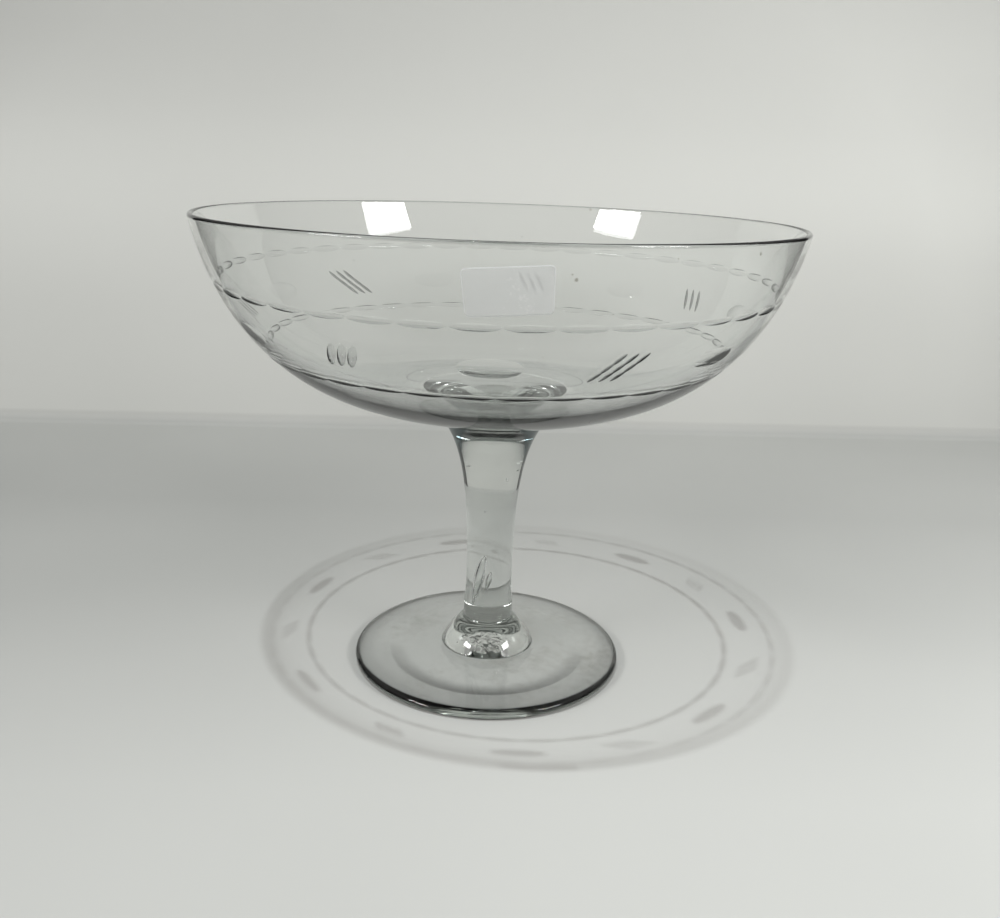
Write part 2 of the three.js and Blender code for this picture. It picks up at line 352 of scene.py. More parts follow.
def all_wheels():
    """Lists of wheels, so that neighbours never touch within a list. A slanted stroke takes three passes."""
    lists = ([], [], [], [])
    for kind, (count, drop, lean, start) in chains.items():
        for i in range(count):
            azimuth = start + (i + 0.5) * 360 / count
            lists[i % 2].append(wheel(azimuth, leaning_drop(drop, lean, azimuth), kind))
    spacing = math.degrees(stroke_spacing / float(wall_at(share_at_drop(motif_drop))[0][0]))
    following = oval_azimuths[1:] + [oval_azimuths[0] + 360]
    for azimuth, next_azimuth, kind in zip(oval_azimuths, following, stroke_kinds):
        lists[0].append(wheel(azimuth, leaning_drop(motif_drop, motif_lean, azimuth), "oval"))
        middle = (azimuth + next_azimuth) / 2
        for k in (-1, 0, 1):
            stroke = (middle + k * spacing, leaning_drop(motif_drop, motif_lean, middle), kind)
            if "upright" in kind:
                lists[k % 2].append(wheel(*stroke))
            else:
                lists[k % 2].append(wheel(*stroke, slanted_pass))
                lists[k % 2].append(wheel(*stroke, -slanted_pass))
                lists[2 + k % 2].append(wheel(*stroke))
    return lists


# %% Cut the wall
def wheel_mesh(name, wheels):
    """One mesh of ellipsoids whose corners keep the direction that the cut surface will have."""
    ball = bmesh.new()
    bmesh.ops.create_uvsphere(ball, u_segments=32, v_segments=24, radius=1)
    shape = [v.co.copy() for v in ball.verts]
    loops = [[v.index for v in f.verts] for f in ball.faces]
    ball.free()
    verts, faces, normals, greys = [], [], [], []
    for matrix, grey in wheels:
        start = len(verts)
        verts.extend(matrix @ v for v in shape)
        faces.extend([[start + k for k in loop] for loop in loops])
        greys.extend([grey] * len(loops))
        turn_normal = matrix.to_3x3().inverted().transposed()
        directions = [-(turn_normal @ v).normalized() for v in shape]
        normals.extend(tuple(directions[k]) for loop in loops for k in loop)
    mesh = bpy.data.meshes.new(name)
    mesh.from_pydata(verts, [], faces)
    keep(mesh, NORMAL, "CORNER", normals, "FLOAT_VECTOR")
    keep(mesh, "cut_face", "FACE", np.ones(len(faces)))
    # Painted shade: each cut's share of grey.
    keep(mesh, "painted_shade_cut", "FACE", greys)
    return placed(name, mesh)


def cut_with(thing, tool):
    """Takes the tool out of the thing, for good, and removes the tool."""
    modifier = thing.modifiers.new("wheel_cuts", "BOOLEAN")
    modifier.operation = "DIFFERENCE"
    modifier.solver = "EXACT"
    modifier.object = tool
    made = bpy.data.meshes.new_from_object(thing.evaluated_get(bpy.context.evaluated_depsgraph_get()))
    thing.modifiers.clear()
    old = thing.data
    thing.data = made
    bpy.data.meshes.remove(old)
    bpy.data.objects.remove(tool)


for part, wheels in enumerate(all_wheels()):
    cut_with(bowl, wheel_mesh(f"wheels_{part}", wheels))
use_true_normals(bowl)

# %% [markdown]
# ## The stem
# The stem is a solid column, drawn out while hot: narrow at its waist, wider where it was stuck to
# the bowl. Its two end faces are not real surfaces, because hot glass fuses with no seam. They
# carry a mask, joint_face, that later makes them clear, and a gap too small to see parts them.

# %% The stem's profile
stem_flare = math.radians(25)
stem_flare_handle = 26.4 * MM
waist_handle_up = 58.3 * MM
waist_handle_down = 12 * MM
stem_end_handle = 11 * MM


def stem_profile(steps):
    """The stretches of the stem's profile, from the middle of its foot end up to the middle of its top."""
    low, high = neck_height + joint_gap, seat_height - joint_gap
    lower = cubic(
        (neck_radius, low),
        (neck_radius, low + stem_end_handle),
        (waist_radius, waist_height - waist_handle_down),
        (waist_radius, waist_height),
        steps=400,
    )
    upper = cubic(
        (waist_radius, waist_height),
        (waist_radius, waist_height + waist_handle_up),
        (
            seat_radius - stem_flare_handle * math.cos(stem_flare),
            high - stem_flare_handle * math.sin(stem_flare),
        ),
        (seat_radius, high),
        steps=800,
    )
    side = spaced(np.concatenate([lower, upper[1:]]), steps)
    bottom = np.array([[0, low], [neck_radius, low]])
    top = np.array([[seat_radius, high], [0, high]])
    return [(bottom, 1.0), (side, 0.0), (top, 1.0)]


stem = turned("stem_glass", stem_profile(steps=110), around=128)

# %% [markdown]
# Two drops of air and four small ones were trapped when the stem was drawn, and the pull made them
# long. A bubble in solid glass is a closed surface whose faces point into the air, so it belongs to
# the stem's mesh.

# %% Bubbles in the stem
bubble_taper = 0.6
# The middle, the length and the width of each, and how many degrees it leans.
stem_bubbles = [
    ((-4.8 * MM, -3 * MM, 51 * MM), 35 * MM, 5.2 * MM, 9),
    ((-0.2 * MM, -5.5 * MM, 52 * MM), 13 * MM, 3.0 * MM, 10),
    ((5.5 * MM, 2 * MM, 118 * MM), 2.2 * MM, 0.8 * MM, 0),
    ((-2 * MM, 5 * MM, 96 * MM), 1.6 * MM, 0.6 * MM, 0),
    ((-9.5 * MM, 1 * MM, 126 * MM), 2.4 * MM, 0.7 * MM, 70),
    ((10.5 * MM, 0 * MM, 124 * MM), 1.8 * MM, 0.7 * MM, 60),
]


def add_bubbles(thing, bubbles):
    """Adds drops of air, thin at the low end, to a solid's mesh."""
    shape = bmesh.new()
    shape.from_mesh(thing.data)
    corner = shape.loops.layers.float_vector[NORMAL]
    for middle, length, width, degrees in bubbles:
        made = bmesh.ops.create_uvsphere(shape, u_segments=20, v_segments=16, radius=1)
        lean = Matrix.Rotation(math.radians(degrees), 4, "Y")
        for v in made["verts"]:
            half_width = width / 2 * (1 - bubble_taper * max(0, -v.co.z))
            size = Vector((half_width, half_width, length / 2))
            v.co = Vector(middle) + (lean @ Vector([a * b for a, b in zip(v.co, size)]))
        faces = {f for v in made["verts"] for f in v.link_faces}
        bmesh.ops.reverse_faces(shape, faces=list(faces))
        for v in made["verts"]:
            v.normal_update()
        for f in faces:
            for loop in f.loops:
                loop[corner] = loop.vert.normal
    shape.to_mesh(thing.data)
    shape.free()


add_bubbles(stem, stem_bubbles)
use_true_normals(stem)

# %% [markdown]
# ## The foot
# The foot was pulled out of a third gather and spun into a disc. Its neck rises to the stem, its
# edge is fire-polished round, and underneath it stands on a flat ring. Inside the ring
# the disc is hollow, and in the middle is the pontil scar, where the glass broke off the iron.

# %% The foot's profile
neck_fillet_reach = 2 * MM
neck_fillet_drop = 3.8 * MM
neck_fillet_handle = 1.8 * MM
dome_radius = 28 * MM
dome_base = 10.5 * MM
dome_top_slope = math.radians(50)
dome_top_handle = 6 * MM
dome_side_slope = math.radians(75)
dome_side_handle = 5 * MM
dome_fillet = 2.5 * MM
dome_fillet_slope = math.radians(20)
edge_thickness = 6.2 * MM
edge_reach = 4.5 * MM
contact_inner = 61 * MM
hollow_depth = 2.5 * MM
kick_depth = 4 * MM
kick_radius = 23 * MM
pontil_radius = 12 * MM


def downward(slope):
    """The direction outward and down a slope in a profile."""
    return np.array([math.cos(slope), -math.sin(slope)])


def underside():
    """The hollow underneath, from its middle out to the contact ring: a gentle rise with a kick."""
    radii = np.linspace(0, contact_inner, num=80)
    into = np.clip((kick_radius - radii) / kick_radius, 0, 1)
    heights = hollow_depth * (1 - (radii / contact_inner) ** 2) + kick_depth * into**2 * (3 - 2 * into)
    return np.stack([radii, heights], axis=1)


def foot_profile():
    """The stretches of the foot's profile, from the middle underneath round the edge to the neck."""
    neck = np.array([neck_radius, neck_height])
    dome_top = neck + [neck_fillet_reach, -neck_fillet_drop]
    dome_foot = np.array([dome_radius, dome_base])
    edge = edge_thickness / 2
    disc_top = np.array([foot_radius - edge_reach, edge_thickness])
    disc_start = dome_foot + downward(dome_fillet_slope) * dome_fillet
    disc_way = (disc_top - disc_start) / np.linalg.norm(disc_top - disc_start)
    half_fillet = dome_fillet / 2
    fillet = cubic(
        neck,
        neck - [0, neck_fillet_handle],
        dome_top - downward(dome_top_slope) * neck_fillet_handle,
        dome_top,
        steps=60,
    )
    dome = cubic(
        dome_top,
        dome_top + downward(dome_top_slope) * dome_top_handle,
        dome_foot - downward(dome_side_slope) * dome_side_handle,
        dome_foot,
        steps=300,
    )
    corner = cubic(
        dome_foot,
        dome_foot + downward(dome_side_slope) * half_fillet,
        disc_start - disc_way * half_fillet,
        disc_start,
        steps=12,
    )
    disc = np.linspace(0, 1, num=100)[:, None] * (disc_top - disc_start) + disc_start
    turns = np.linspace(math.pi / 2, -math.pi / 2, num=60)
    round_edge = np.stack([disc_top[0] + edge_reach * np.cos(turns), edge + edge * np.sin(turns)], axis=1)
    whole = np.concatenate([fillet, dome[1:], corner[1:], disc[1:], round_edge[1:]])
    outside = spaced(whole, steps=170)[::-1]
    contact = np.array([[contact_inner, 0], outside[0]])
    neck_top = np.array([neck, [0, neck_height]])
    return [(underside(), 0.0), (contact, 0.0), (outside, 0.0), (neck_top, 1.0)]


foot = turned("foot_glass", foot_profile(), around=240)


# %% The pontil scar
scar_depth = 1.6 * MM
scar_chip = 2.6 * MM
scar_fade = 4 * MM
swell_scale = 0.45
swell_height = 0.7
scar_middle = 0.35
chip_lean = 0.7
chip_scatter = 7.3


def break_scar(thing):
    """Roughens the middle of the underside into small flat chips, as where glass has snapped off."""
    mesh = thing.data
    corner = mesh.attributes[NORMAL]
    chips = set()
    for v in mesh.vertices:
        distance = math.hypot(v.co.x, v.co.y)
        if distance < pontil_radius and v.co.z < hollow_depth + kick_depth + scar_depth:
            place = Vector((v.co.x, v.co.y, 0)) / scar_chip
            cell = noise.voronoi(place)[1][0]
            tilt = noise.cell_vector(cell * chip_scatter)
            lean = (place - cell).dot(Vector((tilt.x - 0.5, tilt.y - 0.5, 0))) * chip_lean
            fade = min(1, (pontil_radius - distance) / scar_fade)
            swell = noise.noise(place * swell_scale) * swell_height
            v.co.z += fade * scar_depth * (swell + scar_middle + lean)
            chips.add(v.index)
    mesh.update()
    for face in mesh.polygons:
        if all(k in chips for k in face.vertices):
            for loop in face.loop_indices:
                corner.data[loop].vector = face.normal
    print("pontil scar made of", len(chips), "points")


break_scar(foot)
use_true_normals(foot)

# %% [markdown]
# ## The label
# A clear self-adhesive film sits on the outside of the bowl, a little crooked. It is left blank.
# The film is a grid with rounded corners, bent round the wall, and lies a hair's breadth off it.

# %% The label's film
label_width = 38.3 * MM
label_height = 22.3 * MM
label_corner = 2.5 * MM
label_film = 0.12 * MM
label_lift = 0.08 * MM
label_azimuth = 1.5
label_tilt = math.radians(4)
label_drop = 20.5 * MM


def film_columns(width, corner, corner_steps, steps):
    """Places across a film, closer together where its corners are round."""
    straight = width / 2 - corner
    shares = [k / corner_steps for k in range(1, corner_steps + 1)]
    bend = [straight + corner * math.sin(math.pi / 2 * share) for share in shares]
    return [-x for x in reversed(bend)] + list(np.linspace(-straight, straight, steps)) + bend


def smooth_thing(name, shape):
    """A smooth object made of a bmesh, which is freed."""
    mesh = bpy.data.meshes.new(name)
    shape.to_mesh(mesh)
    shape.free()
    mesh.shade_smooth()
    return placed(name, mesh)


def bent_film(name):
    """The film as a closed sheet: a front and a back grid joined round the rim."""
    columns = film_columns(label_width, label_corner, corner_steps=8, steps=40)
    rows = np.linspace(-1, 1, num=25)
    share = share_at_drop(label_drop)
    radius = float(wall_at(share)[0][0])
    shape = bmesh.new()
    inset = shape.verts.layers.float.new("film_inset")
    grids = []
    for lift in (label_lift, label_lift + label_film):
        grid = []
        for across in columns:
            into = max(0, abs(across) - (label_width / 2 - label_corner))
            drop = label_corner - math.sqrt(max(0, label_corner**2 - into**2))
            line = []
            for row in rows:
                up = row * (label_height / 2 - drop)
                level = across * math.cos(label_tilt) - up * math.sin(label_tilt)
                rise = across * math.sin(label_tilt) + up * math.cos(label_tilt)
                azimuth = label_azimuth + math.degrees(level / radius)
                made = shape.verts.new(wall_frame(azimuth, share + rise / wall_length) @ Vector((0, 0, lift)))
                made[inset] = min(label_width / 2 - abs(across), (1 - abs(row)) * (label_height / 2 - drop))
                line.append(made)
            grid.append(line)
        grids.append(grid)
    back, front = grids
    last, top = len(columns) - 1, len(rows) - 1
    for i in range(last):
        for j in range(top):
            shape.faces.new((front[i][j], front[i + 1][j], front[i + 1][j + 1], front[i][j + 1]))
            shape.faces.new((back[i][j], back[i][j + 1], back[i + 1][j + 1], back[i + 1][j]))
    rim = [(i, 0) for i in range(last)] + [(last, j) for j in range(top)]
    rim += [(i, top) for i in range(last, 0, -1)] + [(0, j) for j in range(top, 0, -1)]
    for (i, j), (k, m) in zip(rim, rim[1:] + rim[:1]):
        shape.faces.new((back[i][j], back[k][m], front[k][m], front[i][j]))
    thing = smooth_thing(name, shape)
    print(name, "has", len(thing.data.polygons), "faces")
    return thing


label = bent_film("label_film")

# %% [markdown]
# ## Painted shade where the glass is thick, and where it turns light away
# Light that enters the base of the bowl, the stem's flare and neck or the round edge of the foot at
# a slant runs a long way inside, and in a real room picks up its dark. That dark is painted shade
# here: an attribute marks those places and the bubbles, and of the bowl's wall only the outside, and
# the glass's colour is darkened there at a slant. A value over 1 makes the painted shade full at a
# lesser slant. The foot's edge and the step inside its contact ring also turn the lamps' light
# aside, which a second attribute, light_turned, marks. Both strengths are listed below. Under
# the foot, light_turned is stronger to the front, where the photograph is darker.

# %% How strong the marks are, and where they grow
bowl_painted_shade, bowl_grows = 2.3, (seat_height + 34 * MM, seat_height + 14 * MM)
flare_painted_shade, flare_grows = 3.5, (112 * MM, 150 * MM)
stem_top_painted_shade, stem_top_grows = 4, (seat_height - 8 * MM, seat_height - 4 * MM)
neck_painted_shade, neck_grows = 0.5, (37 * MM, 31 * MM)
bubble_painted_shade, bubble_room = 2.5, 0.7 * waist_radius
edge_grows = (foot_radius - 6 * MM, foot_radius - 2 * MM)
edge_turns, edge_turns_grow = 0.75, (foot_radius - 6 * MM, foot_radius - 1 * MM)
step_turns, step_grows = 0.7, (47 * MM, 60 * MM)
step_end = contact_inner - 0.3 * MM
ring_turns = 0.35
front_power = 0.6
underside_top = 1.2 * hollow_depth


# %% Mark the glass
def mark_glass(thing, name, value_at):
    """Stores value_at(vertex) in each vertex."""
    values = [value_at(v) for v in thing.data.vertices]
    keep(thing.data, name, "POINT", values)
    print(thing.name, "has", sum(value > 0.5 for value in values), "points of", name)


def ease(value, none_at, full_at):
    """0 at none_at, 1 at full_at and smooth between."""
    share = min(1, max(0, (value - none_at) / (full_at - none_at)))
    return share * share * (3 - 2 * share)


def from_axis(vertex):
    """How far a vertex is from the middle of the piece."""
    return math.hypot(vertex.co.x, vertex.co.y)


def turned_by_foot(vertex):
    """How much of the lamps' light the foot turns aside: all round at its edge, and under its front."""
    radius = from_axis(vertex)
    edge = edge_turns * ease(radius, *edge_turns_grow)
    if vertex.co.z > underside_top:
        return edge
    front = max(0, -vertex.co.y / max(radius, MM)) ** front_power
    under = step_turns * ease(radius, *step_grows) if radius < step_end else ring_turns
    return max(edge, front * under)


def painted_shade_in_bowl(vertex):
    """Painted shade, strongest round the seat of the stem, on the outside of the wall."""
    return bowl_painted_shade * ease(vertex.co.z, *bowl_grows) * (vertex.normal.z < 0)


def painted_shade_in_stem(vertex):
    """Painted shade where the column flares, most of all right under the bowl, at the neck and round the
    bubbles.
    """
    height = vertex.co.z
    if from_axis(vertex) < bubble_room and neck_height + MM < height < seat_height - MM:
        return bubble_painted_shade
    flare = flare_painted_shade * ease(height, *flare_grows)
    top = stem_top_painted_shade * ease(height, *stem_top_grows)
    return flare + top + neck_painted_shade * ease(height, *neck_grows)


def painted_shade_in_foot(vertex):
    """Painted shade in the round edge."""
    return ease(from_axis(vertex), *edge_grows)


# Painted shade: these marks darken the glass's colour where light runs a long way inside.
mark_glass(bowl, "painted_shade_glass", painted_shade_in_bowl)
mark_glass(stem, "painted_shade_glass", painted_shade_in_stem)
mark_glass(foot, "painted_shade_glass", painted_shade_in_foot)
mark_glass(foot, "light_turned", turned_by_foot)

# %% [markdown]
# ## Glass
# Clear glass is a Principled BSDF with full transmission. Its faint grey-green colour comes from
# the metal traces in the batch, so it deepens with the length of the light's way: a volume that
# absorbs a little does that, and makes the foot's edge darker than the thin wall.
# Three effects are shared by the pieces, so each is a node group: the ripple of hand-blown glass,
# the haze that handling and dried water leave, and the specks of dust and tiny seeds of air.

# %% Small helpers for node trees
def new_group(name, result, **inputs):
    """An empty shader node group: numbers go in, and one result comes out."""
    group = bpy.data.node_groups.new(name, "ShaderNodeTree")
    for socket, default in inputs.items():
        made = group.interface.new_socket(name=socket, in_out="INPUT", socket_type="NodeSocketFloat")
        made.default_value = default
    group.interface.new_socket(name=result, in_out="OUTPUT", socket_type="NodeSocketFloat")
    return group, group.nodes.new("NodeGroupInput"), group.nodes.new("NodeGroupOutput")


def node(tree, kind, links=None, **settings):
    """A node with settings, and its inputs set to values or linked to other sockets."""
    made = tree.nodes.new(kind)
    for key, value in settings.items():
        setattr(made, key, value)
    for key, value in (links or {}).items():
        if isinstance(value, bpy.types.NodeSocket):
            tree.links.new(value, made.inputs[key])
        else:
            made.inputs[key].default_value = value
    return made


def math_node(tree, operation, *values):
    """A math node's result."""
    return node(tree, "ShaderNodeMath", dict(enumerate(values)), operation=operation).outputs[0]


def times(tree, first, second):
    """Two values multiplied."""
    return math_node(tree, "MULTIPLY", first, second)


def new_material(name):
    """A material with its node tree, its Principled BSDF and its output."""
    material = bpy.data.materials.new(name)
    material.use_nodes = True
    tree = material.node_tree
    return material, tree, tree.nodes["Principled BSDF"], tree.nodes["Material Output"]


def place_group(tree, group, **values):
    """A group placed in a material, with its own values."""
    return node(tree, "ShaderNodeGroup", values, node_tree=group)


def ranged(tree, value, start, end, at_start=0.0, at_end=1.0):
    """A value that goes from at_start to at_end while another goes from start to end."""
    sockets = {0: value, 1: start, 2: end, 3: at_start, 4: at_end}
    return node(tree, "ShaderNodeMapRange", sockets).outputs[0]


def blended(tree, share, first, second):
    """A colour between two others."""
    sockets = {0: share, 6: first, 7: second}
    return node(tree, "ShaderNodeMix", sockets, data_type="RGBA").outputs[2]


def between(tree, share, first, second):
    """A number between two others."""
    return node(tree, "ShaderNodeMix", {0: share, 2: first, 3: second}, data_type="FLOAT").outputs[0]


def mark(tree, name):
    """The value of an attribute of the mesh."""
    return node(tree, "ShaderNodeAttribute", attribute_name=name).outputs["Fac"]


# %% The ripple of turned glass
def ripple_group():
    """Height of the faint waves left by turning: long round the piece and short upwards."""
    group, entry, leave = new_group("turned_ripple", "Height", Around=9.0, Upward=60.0)
    place = node(group, "ShaderNodeTexCoord").outputs["Object"]
    around, upward = entry.outputs[0], entry.outputs[1]
    scale = node(group, "ShaderNodeCombineXYZ", {0: around, 1: around, 2: upward})
    spread = node(group, "ShaderNodeVectorMath", {0: place, 1: scale.outputs[0]}, operation="MULTIPLY")
    waves = node(group, "ShaderNodeTexNoise", {"Vector": spread.outputs[0], "Scale": 1.0, "Detail": 1.5})
    group.links.new(waves.outputs[0], leave.inputs[0])
    return group


# %% Haze of handling
streak_fineness = 9.0
haze_reach = 0.35
haze_softness = 0.2


def haze_group():
    """A mask of dried water and finger marks: soft patches broken up by fine streaks."""
    group, entry, leave = new_group("handling_haze", "Mask", Scale=14.0, Amount=0.5)
    place = node(group, "ShaderNodeTexCoord").outputs["Object"]
    patches = node(group, "ShaderNodeTexNoise", {"Vector": place, "Scale": entry.outputs[0], "Detail": 3.0})
    fine_scale = times(group, entry.outputs[0], streak_fineness)
    streaks = node(group, "ShaderNodeTexNoise", {"Vector": place, "Scale": fine_scale, "Detail": 4.0})
    both = times(group, patches.outputs[0], streaks.outputs[0])
    start = math_node(group, "SUBTRACT", 0.5, times(group, entry.outputs[1], haze_reach))
    mask = ranged(group, both, start, math_node(group, "ADD", start, haze_softness))
    group.links.new(mask, leave.inputs[0])
    return group


# %% Specks of dust and seeds
least_speck = 0.4
speck_core = 0.6


def speck_group():
    """A mask of small round spots, sparse and of uneven size."""
    group, entry, leave = new_group("dust_and_seeds", "Mask", Scale=60.0, Size=0.05, Share=0.2)
    place = node(group, "ShaderNodeTexCoord").outputs["Object"]
    cells = node(group, "ShaderNodeTexVoronoi", {"Vector": place, "Scale": entry.outputs[0]})
    drawn = node(group, "ShaderNodeSeparateColor", {0: cells.outputs["Color"]})
    kept = math_node(group, "LESS_THAN", drawn.outputs[0], entry.outputs[2])
    uneven = math_node(group, "ADD", drawn.outputs[1], least_speck)
    size = times(group, entry.outputs[1], uneven)
    edge = times(group, size, speck_core)
    spot = ranged(group, cells.outputs["Distance"], size, edge)
    mask = times(group, spot, kept)
    group.links.new(mask, leave.inputs[0])
    return group


turned_ripple = ripple_group()
handling_haze = haze_group()
dust_and_seeds = speck_group()

# %% Glass for one piece
clear_tint = (0.985, 0.993, 0.988, 1)
dust_colour = (0.36, 0.33, 0.28, 1)
haze_colour = (0.80, 0.79, 0.765, 1)
glass_ior = 1.5
absorbed_colour = (0.675, 0.70, 0.68, 1)
absorbed_density = 20.0
surface_pass = 0.96
cut_spread = 0.85
dust_roughness = 0.35
# Painted shade for narrow cuts: a dark grey mixed into their colour.
painted_shade_grey = (0.03, 0.035, 0.035, 1)


def glass_material(name, ripple, haze, specks, painted_shade_tint, cut_roughness=0.0, edge_power=3.0):
    """Clear glass. ripple is (around, upward, height), haze is (scale, amount, roughness) and specks is
    (scale, size, share). painted_shade_tint is the colour of painted shade where light runs a long way
    inside, strongest at a slant. edge_power says how far the shade of a piece's edge reaches inwards
    in its shadow: less far when it is large."""
    material, tree, shader, output = new_material(name)
    shader.inputs["IOR"].default_value = glass_ior
    shader.inputs["Transmission Weight"].default_value = 1.0
    shader.inputs["Metallic"].default_value = 0.0
    waves = place_group(tree, turned_ripple, Around=ripple[0], Upward=ripple[1])
    film = place_group(tree, handling_haze, Scale=haze[0], Amount=haze[1])
    dust = place_group(tree, dust_and_seeds, Scale=specks[0], Size=specks[1], Share=specks[2])
    cut = mark(tree, "cut_face")
    facing = node(tree, "ShaderNodeLayerWeight", {"Blend": 0.5}).outputs["Facing"]
    slant = times(tree, facing, facing)
    # Painted shade: the colour darkens where the glass is marked, most at a slant, on faces that light
    # enters.
    painted_shade_share = times(tree, mark(tree, "painted_shade_glass"), slant)
    entering = math_node(tree, "SUBTRACT", 1.0, node(tree, "ShaderNodeNewGeometry").outputs["Backfacing"])
    painted_shade_share = times(tree, painted_shade_share, entering)
    tint = blended(tree, painted_shade_share, clear_tint, painted_shade_tint)
    # Painted shade in narrow cuts: each cut's share of grey is mixed into the colour.
    tint = blended(tree, mark(tree, "painted_shade_cut"), tint, painted_shade_grey)
    tint = blended(tree, film.outputs[0], tint, haze_colour)
    tint = blended(tree, dust.outputs[0], tint, dust_colour)
    tree.links.new(tint, shader.inputs["Base Color"])
    rough = times(tree, film.outputs[0], haze[2])
    rough = math_node(tree, "MAXIMUM", rough, times(tree, dust.outputs[0], dust_roughness))
    rough = math_node(tree, "MAXIMUM", rough, times(tree, cut, cut_roughness))
    tree.links.new(rough, shader.inputs["Roughness"])
    bump = node(tree, "ShaderNodeBump", {"Height": waves.outputs[0], "Distance": ripple[2], "Strength": 1.0})
    tree.links.new(bump.outputs[0], shader.inputs["Normal"])
    path = node(tree, "ShaderNodeLightPath")
    straight = math_node(tree, "MAXIMUM", path.outputs["Is Shadow Ray"], path.outputs["Is Diffuse Ray"])
    mirrored = math_node(tree, "POWER", facing, edge_power)
    passed = times(tree, math_node(tree, "SUBTRACT", 1.0, mirrored), surface_pass)
    cut_away = times(tree, cut, cut_spread)
    spread = math_node(tree, "MAXIMUM", mark(tree, "light_turned"), cut_away)
    passed = times(tree, passed, math_node(tree, "SUBTRACT", 1.0, spread))
    through = times(tree, straight, passed)
    clear = math_node(tree, "MAXIMUM", mark(tree, "joint_face"), through)
    tree.links.new(math_node(tree, "SUBTRACT", 1.0, clear), shader.inputs["Alpha"])
    absorbing = {"Color": absorbed_colour, "Density": absorbed_density}
    absorbed = node(tree, "ShaderNodeVolumeAbsorption", absorbing)
    tree.links.new(absorbed.outputs[0], output.inputs["Volume"])
    return material


# Each piece's darker tint below is painted shade, laid where its glass is marked.
bowl_material = glass_material(
    "bowl_clear_glass",
    ripple=(7, 45, 0.25 * MM),
    haze=(9, 0.15, 0.12),
    specks=(190, 0.16, 0.03),
    painted_shade_tint=(0.07, 0.095, 0.09, 1),
    cut_roughness=0.03,
    edge_power=5.0,
)
stem_material = glass_material(
    "stem_clear_glass",
    ripple=(60, 18, 0.12 * MM),
    haze=(30, 0.1, 0.1),
    specks=(250, 0.15, 0.02),
    painted_shade_tint=(0.012, 0.022, 0.026, 1),
)
foot_material = glass_material(
    "foot_clear_glass",
    ripple=(16, 30, 0.5 * MM),
    haze=(20, 0.7, 0.2),
    specks=(220, 0.16, 0.06),
    painted_shade_tint=(0.55, 0.64, 0.59, 1),
)
for thing, material in ((bowl, bowl_material), (stem, stem_material), (foot, foot_material)):
    thing.data.materials.clear()
    thing.data.materials.append(material)

# %% [markdown]
# ## Label film
# The film is clear with a satin face that scatters a little light, so it reads as a pale
# rectangle. A little alpha is enough: most of what is seen comes through it.

# %% Film material
film_tone = (0.93, 0.94, 0.94, 1)
crease_tone = (0.98, 0.98, 0.98, 1)
film_alpha = 0.38
crease_alpha = 0.08
slant_alpha = 0.3
painted_highlight_least = 0.3
painted_highlight_range = (0.2 * MM, 0.6 * MM, 0.5, 0.0)


def film_material():
    """Clear film: satin, faintly white, with fine creases, and along its cut edge a painted highlight that
    makes it paler.
    """
    material, tree, shader, _ = new_material("label_clear_film")
    shader.inputs["Roughness"].default_value = 0.42
    shader.inputs["IOR"].default_value = 1.46
    film = place_group(tree, handling_haze, Scale=60.0, Amount=0.5)
    tone = blended(tree, film.outputs[0], film_tone, crease_tone)
    tree.links.new(tone, shader.inputs["Base Color"])
    # Painted highlight: the film is whiter and less clear along its cut edge.
    rim = ranged(tree, mark(tree, "film_inset"), *painted_highlight_range)
    facing = node(tree, "ShaderNodeLayerWeight", {"Blend": 0.5})
    alpha = math_node(tree, "ADD", film_alpha, times(tree, film.outputs[0], crease_alpha))
    slanted = times(tree, facing.outputs["Facing"], slant_alpha)
    alpha = math_node(tree, "ADD", alpha, slanted)
    alpha = math_node(tree, "MAXIMUM", alpha, math_node(tree, "ADD", rim, painted_highlight_least))
    tree.links.new(alpha, shader.inputs["Alpha"])
    return material


label.data.materials.append(film_material())

# %% Join the pieces to the frame
for thing, cad_node, record_slot in (
    (bowl, "bowl", "clear_glass"),
    (stem, "stem", "clear_glass"),
    (foot, "foot", "clear_glass"),
    (label, "label", "label_film"),
):
    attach(thing, "root")
    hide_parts(cad_node)

# %% [markdown]
# ## The stage
# The bowl stands on pale paper that sweeps up behind it. Paper in a real studio is never quite
# even, so its tone drifts softly. Painted light is laid on its colour too: the tone rises and falls
# with height and changes to the sides as it does in the photograph, darkens towards the back of the
# floor, and fades far from the bowl. From behind, the sweep is clear, so that it doesn't block other views.

# %% Floor and sweep
paper_level = -0.1 * MM
bend_distance = 0.535
bend_turn = math.radians(2.9)
bend_radius = 0.012
sweep_height = 0.5
sweep_half_width = 1.3
wall_half_width = 0.62
floor_front = -1.6
slide_front = -1.0
wall_middle = 0.25


def sweep_profile():
    """Distance and height of the paper, from the floor's front edge to the wall's top."""
    flat = [(distance, paper_level) for distance in (floor_front, slide_front, 0.0)]
    bend = []
    for a in np.linspace(-math.pi / 2, 0, num=13):
        height = paper_level + bend_radius * (1 + math.sin(a))
        bend.append((bend_distance - bend_radius + bend_radius * math.cos(a), height))
    return flat + bend + [(bend_distance, wall_middle), (bend_distance, sweep_height)]


def paper_sweep():
    """The paper as one strip, its bend turned a little in plan."""
    shape = bmesh.new()
    lines = []
    for distance, height in sweep_profile():
        line = []
        half_width = wall_half_width if distance > bend_distance - bend_radius else sweep_half_width
        share = min(1, max(0, (distance - slide_front) / (bend_distance - slide_front)))
        for side in np.linspace(-half_width, half_width, num=13):
            slide = side * math.tan(bend_turn) * share
            line.append(shape.verts.new((side, distance + slide, height)))
        lines.append(line)
    for low, high in zip(lines, lines[1:]):
        for k in range(len(low) - 1):
            shape.faces.new((low[k], low[k + 1], high[k + 1], high[k]))
    return smooth_thing("paper_sweep", shape)


sweep = paper_sweep()

